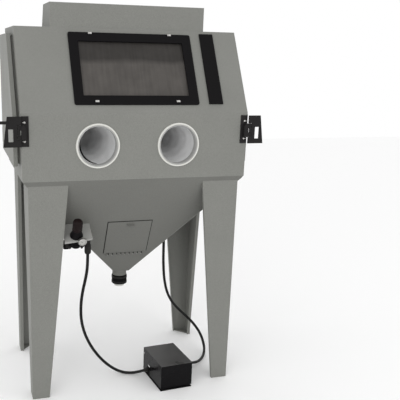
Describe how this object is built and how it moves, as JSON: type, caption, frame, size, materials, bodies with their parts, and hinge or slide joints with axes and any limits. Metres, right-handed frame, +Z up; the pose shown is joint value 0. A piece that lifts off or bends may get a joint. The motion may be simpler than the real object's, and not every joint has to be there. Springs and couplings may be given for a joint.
{
  "type": "sandblast cabinet",
  "caption": "Gray sandblast cabinet on tapered folded legs, with side doors, a sloping window, arm ports, a hopper, an air regulator and a foot valve.",
  "frame": {"origin": "under the middle of the whole object's box, on the floor, hoses left out", "axes": "+X to the operator's right across the front, +Y from the front to the back, +Z up"},
  "size_m": [1.25, 0.78, 1.8592],
  "materials": {
    "body_paint": "satin",
    "black_paint": "satin",
    "black_plastic": "matte",
    "white_plastic": "satin",
    "black_rubber": "matte",
    "sleeve_cloth": "matte",
    "clear_glass": "polished",
    "bright_steel": "brushed",
    "brass": "satin",
    "lamp_glass": "gloss"
  },
  "bodies": {
    "cabinet": {"front_panel": "body_paint", "roof_panel": "body_paint", "back_panel": "body_paint", "left_side_frame": "body_paint", "right_side_frame": "body_paint", "light_housing": "body_paint", "hopper": "body_paint", "front_left_leg": "body_paint", "front_right_leg": "body_paint", "back_left_leg": "body_paint", "back_right_leg": "body_paint", "cleanout_hinge": "body_paint", "outlet_pipe": "body_paint", "regulator_bracket": "body_paint", "exhaust_collar": "body_paint", "window_frame": "black_paint", "side_strip_cover": "black_paint", "left_latch_base": "black_paint", "right_latch_base": "black_paint", "pedal_base": "black_paint", "regulator_body": "black_paint", "lamp_sockets": "black_plastic", "left_arm_ring": "white_plastic", "right_arm_ring": "white_plastic", "left_sleeve": "sleeve_cloth", "right_sleeve": "sleeve_cloth", "window_gasket": "black_rubber", "rubber_coupling": "black_rubber", "hose_1": "black_rubber", "hose_2": "black_rubber", "window_glass": "clear_glass", "light_lens": "clear_glass", "lamp_tubes": "lamp_glass", "window_clips": "bright_steel", "fixed_hinge_leaves": "bright_steel", "latch_bolts": "bright_steel", "work_grate": "bright_steel", "treadle_pin": "bright_steel", "treadle_spring": "bright_steel", "pressure_gauge": "bright_steel", "blast_gun": "bright_steel", "air_inlet": "brass", "regulator_elbow": "brass", "pedal_fittings": "brass", "foot_valve": "brass", "hopper_air_fitting": "brass"},
    "left_door": {"left_door": "body_paint", "left_door_seal": "black_rubber", "left_door_hinge_leaves": "bright_steel"},
    "right_door": {"right_door": "body_paint", "right_door_seal": "black_rubber", "right_door_hinge_leaves": "bright_steel"},
    "left_latch": {"left_latch_lever": "black_paint"},
    "right_latch": {"right_latch_lever": "black_paint"},
    "cleanout": {"cleanout_door": "body_paint", "cleanout_pull": "body_paint"},
    "plug": {"drain_plug": "white_plastic"},
    "knob": {"regulator_knob": "black_plastic"},
    "treadle": {"treadle": "black_paint"},
    "plunger": {"valve_plunger": "bright_steel"}
  },
  "joints": [
    {"name": "left_door_hinge", "type": "hinge", "parent": "cabinet", "child": "left_door", "pos_m": [-0.545, 0.33797, 1.43], "axis": [0, 0, -1], "range_deg": [0, 110]},
    {"name": "right_door_hinge", "type": "hinge", "parent": "cabinet", "child": "right_door", "pos_m": [0.57, 0.33797, 1.43], "axis": [0, 0, 1], "range_deg": [0, 110]},
    {"name": "left_latch_pivot", "type": "hinge", "parent": "cabinet", "child": "left_latch", "pos_m": [-0.532, -0.34003, 1.3], "axis": [0, 0, 1], "range_deg": [0, 100]},
    {"name": "right_latch_pivot", "type": "hinge", "parent": "cabinet", "child": "right_latch", "pos_m": [0.557, -0.34003, 1.3], "axis": [0, 0, -1], "range_deg": [0, 100]},
    {"name": "cleanout_hinge_joint", "type": "hinge", "parent": "cabinet", "child": "cleanout", "pos_m": [0.0125, -0.10293, 0.6522], "axis": [1, 0, 0], "range_deg": [0, 110]},
    {"name": "plug_slide", "type": "slide", "parent": "cabinet", "child": "plug", "axis": [0, 0, -1], "range_m": [0, 0.06]},
    {"name": "knob_turn", "type": "hinge", "parent": "cabinet", "child": "knob", "pos_m": [-0.2705, -0.27492, 0.80656], "axis": [0, -0.469, 0.8832], "range_deg": [-900, 900]},
    {"name": "treadle_hinge", "type": "hinge", "parent": "cabinet", "child": "treadle", "pos_m": [0.20017, -0.15244, 0.108], "axis": [0.9962, 0.0872, 0], "range_deg": [0, 2], "stiffness_Nm_per_rad": 40, "springref_deg": -6.88},
    {"name": "plunger_slide", "type": "slide", "parent": "cabinet", "child": "plunger", "axis": [0, 0, -1], "range_m": [0, 0.00213], "deforming": ["treadle_spring"]}
  ],
  "couplings": [
    {"joint": "plunger_slide", "follows": "treadle_hinge", "m_per_rad": 0.061}
  ]
}
